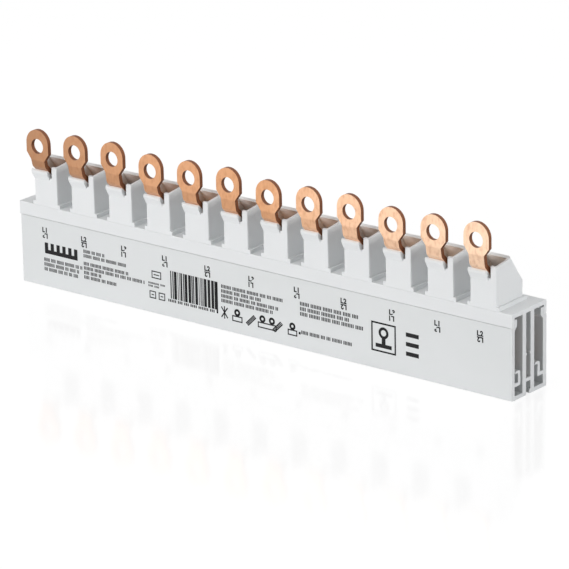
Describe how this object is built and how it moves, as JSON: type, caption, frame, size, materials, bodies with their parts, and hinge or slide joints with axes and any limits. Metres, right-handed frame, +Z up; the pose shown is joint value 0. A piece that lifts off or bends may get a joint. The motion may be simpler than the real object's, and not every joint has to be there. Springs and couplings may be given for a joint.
{
  "type": "comb busbar",
  "caption": "Insulated comb busbar: copper strips in an extruded plastic channel, with hooded ring terminals in a row along its top.",
  "frame": {"origin": "middle of the whole part's footprint, on the underside of the base", "axes": "+X along the length from L1 to L3, -Y towards the front of the ring terminals, +Z up"},
  "size_m": [0.217, 0.0228, 0.0609],
  "materials": {
    "base_plastic": "satin",
    "cover_plastic": "satin",
    "hood_plastic": "satin",
    "copper": "satin"
  },
  "bodies": {
    "root": {"base_profile": "base_plastic", "cover_profile": "cover_plastic", "busbar_l1": "copper", "busbar_l2": "copper", "busbar_l3": "copper", "hood_01": "hood_plastic", "hood_02": "hood_plastic", "hood_03": "hood_plastic", "hood_04": "hood_plastic", "hood_05": "hood_plastic", "hood_06": "hood_plastic", "hood_07": "hood_plastic", "hood_08": "hood_plastic", "hood_09": "hood_plastic", "hood_10": "hood_plastic", "hood_11": "hood_plastic", "hood_12": "hood_plastic"}
  },
  "joints": []
}
